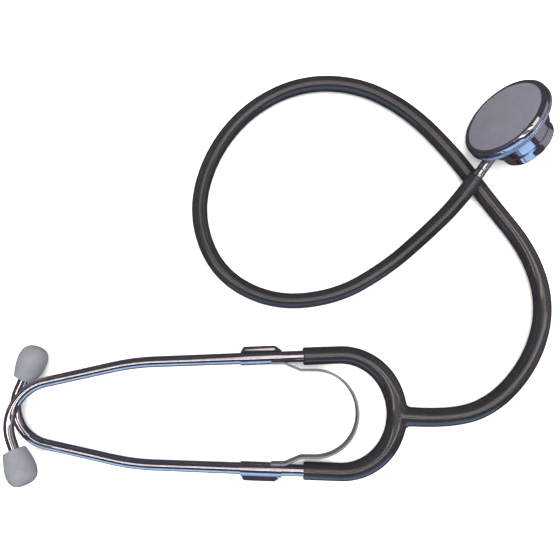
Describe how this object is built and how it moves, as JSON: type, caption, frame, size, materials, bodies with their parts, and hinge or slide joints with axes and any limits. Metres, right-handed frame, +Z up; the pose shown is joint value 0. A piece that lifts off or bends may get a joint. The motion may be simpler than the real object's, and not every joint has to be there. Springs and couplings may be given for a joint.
{
  "type": "stethoscope",
  "caption": "Dual-head stethoscope lying with its tube in a loose loop: Y binaural with leaf spring, ear tips, and a tilted bell and diaphragm chestpiece.",
  "frame": {"origin": "centre of the underside's bounding box, measured without the main tube, on the plane the stethoscope lies on", "axes": "+Z up from the table; +X along the ear tubes' centre line from the ear tips towards the Y and the chestpiece; +Y completes a right-handed frame, towards the tube's loop"},
  "size_m": [0.2621, 0.2015, 0.0405],
  "materials": {
    "tubing": "glossy PVC-like tubing, charcoal black",
    "ear_tube": "polished chrome on brass tube",
    "spring_steel": "satin spring strip",
    "ear_tip": "satin grey moulded plastic",
    "chrome": "polished chrome plating",
    "diaphragm": "finely mottled grey film",
    "seal": "black nitrile",
    "steel": "hardened steel"
  },
  "bodies": {
    "root": {"y_junction": "tubing", "main_tube": "tubing", "stem": "chrome", "stem_seal": "seal", "retaining_clip": "steel"},
    "side_left": {"y_arm_left": "tubing", "ear_tube_left": "ear_tube", "leaf_spring_left": "spring_steel"},
    "side_right": {"y_arm_right": "tubing", "ear_tube_right": "ear_tube", "leaf_spring_right": "spring_steel"},
    "tip_left": {"ear_tip_left": "ear_tip"},
    "tip_right": {"ear_tip_right": "ear_tip"},
    "head": {"head_body": "chrome", "neck": "chrome", "side_plug": "chrome", "detent_ball": "steel", "detent_spring": "steel", "bell": "chrome"},
    "diaphragm_unit": {"diaphragm": "diaphragm", "gasket": "seal"},
    "ring": {"retaining_ring": "chrome"}
  },
  "joints": [
    {"name": "spread_right", "type": "hinge", "parent": "root", "child": "side_right", "pos_m": [0.05271, -0.07612, 0.0046], "axis": [0, 0, 1], "range_deg": [0, 28], "stiffness_Nm_per_rad": 0.8},
    {"name": "spread_left", "type": "hinge", "parent": "root", "child": "side_left", "pos_m": [0.05271, -0.05228, 0.0046], "axis": [0, 0.5, -0.866], "range_deg": [0, 28], "stiffness_Nm_per_rad": 0.8},
    {"name": "ear_tip_pull_left", "type": "slide", "parent": "side_left", "child": "tip_left", "axis": [0.3968, -0.9144, 0.0804], "range_m": [0, 0.014]},
    {"name": "ear_tip_pull_right", "type": "slide", "parent": "side_right", "child": "tip_right", "axis": [0.4027, 0.9137, 0.0555], "range_m": [0, 0.014]},
    {"name": "head_swivel", "type": "hinge", "parent": "root", "child": "head", "pos_m": [0.11188, 0.07285, 0.0184], "axis": [0.5757, 0.7982, 0.1776], "continuous": true},
    {"name": "diaphragm_lift", "type": "slide", "parent": "head", "child": "diaphragm_unit", "axis": [-0.7437, 0.4208, 0.5195], "range_m": [0, 0.00375]},
    {"name": "ring_turn", "type": "hinge", "parent": "diaphragm_unit", "child": "ring", "pos_m": [0.10816, 0.07495, 0.021], "axis": [-0.7437, 0.4208, 0.5195], "range_deg": [0, 900]}
  ],
  "couplings": [
    {"joint": "spread_left", "follows": "spread_right", "ratio": 1},
    {"joint": "ring_turn", "follows": "diaphragm_lift", "rad_per_m": 4188.8}
  ]
}
